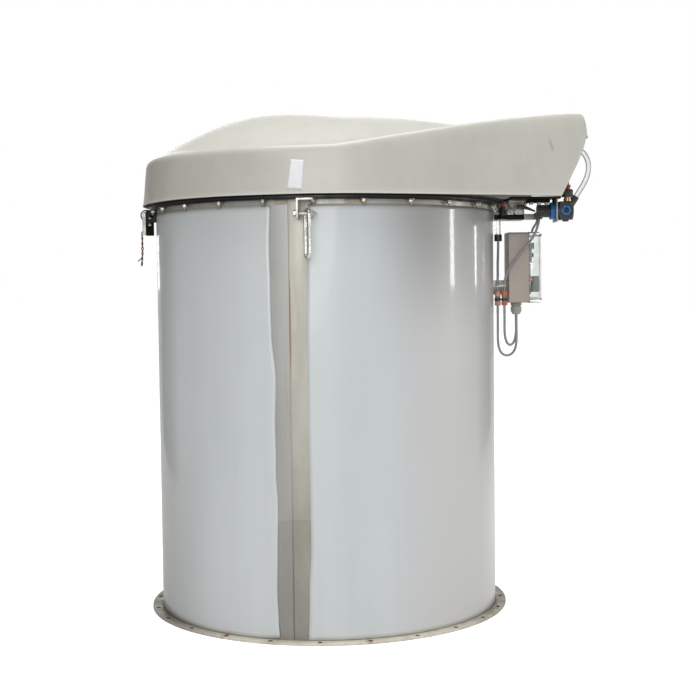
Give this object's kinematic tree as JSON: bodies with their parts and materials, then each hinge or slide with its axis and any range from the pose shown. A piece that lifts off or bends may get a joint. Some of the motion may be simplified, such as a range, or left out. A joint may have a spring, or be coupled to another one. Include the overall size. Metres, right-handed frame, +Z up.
{
  "type": "silo dust filter",
  "caption": "Round silo venting filter: flanged steel body with hanging pleated cartridges under a hinged weather hood with an overhanging beak.",
  "frame": {"origin": "centre of the base flange on its underside", "axes": "+Z up along the body axis, +X towards the beak of the hood, +Y away from the camera of the picture"},
  "size_m": [1.0643, 0.8874, 1.1637],
  "materials": {
    "bare_steel": "mill finish, lightly rusted",
    "body_steel": "mill finish under pale film",
    "black_rubber": "matt",
    "filter_fabric": "pleated felt",
    "hood_plastic": "semi-gloss gel coat",
    "black_steel": "satin",
    "black_plastic": "satin",
    "blue_plastic": "satin",
    "red_plastic": "satin",
    "box_plastic": "satin",
    "clear_plastic": "clear",
    "grey_plastic": "satin",
    "rusty_wire": "rusted"
  },
  "bodies": {
    "filter_body": {"body_shell": "body_steel", "base_flange": "bare_steel", "top_flange": "black_rubber", "tube_sheet": "bare_steel", "rim_gasket": "black_rubber", "cartridge_media": "filter_fabric", "cartridge_collars": "black_rubber", "cartridge_caps": "black_rubber", "hinge_bracket": "bare_steel", "hinge_pin": "bare_steel", "lug_front": "bare_steel", "lug_back": "bare_steel", "lug_pin_front": "bare_steel", "lug_pin_back": "bare_steel", "latch_bracket": "bare_steel", "latch_lug": "bare_steel", "tie_wire": "rusty_wire", "box_bracket": "bare_steel", "box_base": "box_plastic", "box_lid": "clear_plastic", "box_board": "black_plastic", "box_gland": "box_plastic", "line_clip": "black_plastic", "clear_sleeve": "clear_plastic", "sleeve_reducer": "black_plastic", "line_unions": "black_plastic", "line_left": "grey_plastic", "line_right": "grey_plastic", "line_top": "grey_plastic"},
    "cover": {"hood": "hood_plastic", "hood_frame": "bare_steel", "air_tank": "bare_steel", "tank_brackets": "bare_steel", "hinge_plate": "black_steel", "hinge_arms": "bare_steel", "regulator_plate": "bare_steel", "regulator_body": "black_plastic", "regulator_ring": "blue_plastic", "regulator_knob": "black_plastic", "regulator_port": "blue_plastic", "tube_elbow": "black_plastic", "elbow_ring": "red_plastic", "air_tube": "clear_plastic"},
    "front_link": {"link_front": "bare_steel"},
    "back_link": {"link_back": "bare_steel"}
  },
  "joints": [
    {"name": "cover_hinge", "type": "hinge", "parent": "filter_body", "child": "cover", "pos_m": [0.462, 0, 0.932], "axis": [0, 1, 0], "range_deg": [0, 75]},
    {"name": "link_front_swing", "type": "hinge", "parent": "filter_body", "child": "front_link", "pos_m": [-0.04121, -0.42802, 0.909], "axis": [-0.9954, 0.0958, 0], "range_deg": [0, 80]},
    {"name": "link_back_swing", "type": "hinge", "parent": "filter_body", "child": "back_link", "pos_m": [-0.04121, 0.42802, 0.909], "axis": [0.9954, 0.0958, 0], "range_deg": [0, 80]}
  ]
}
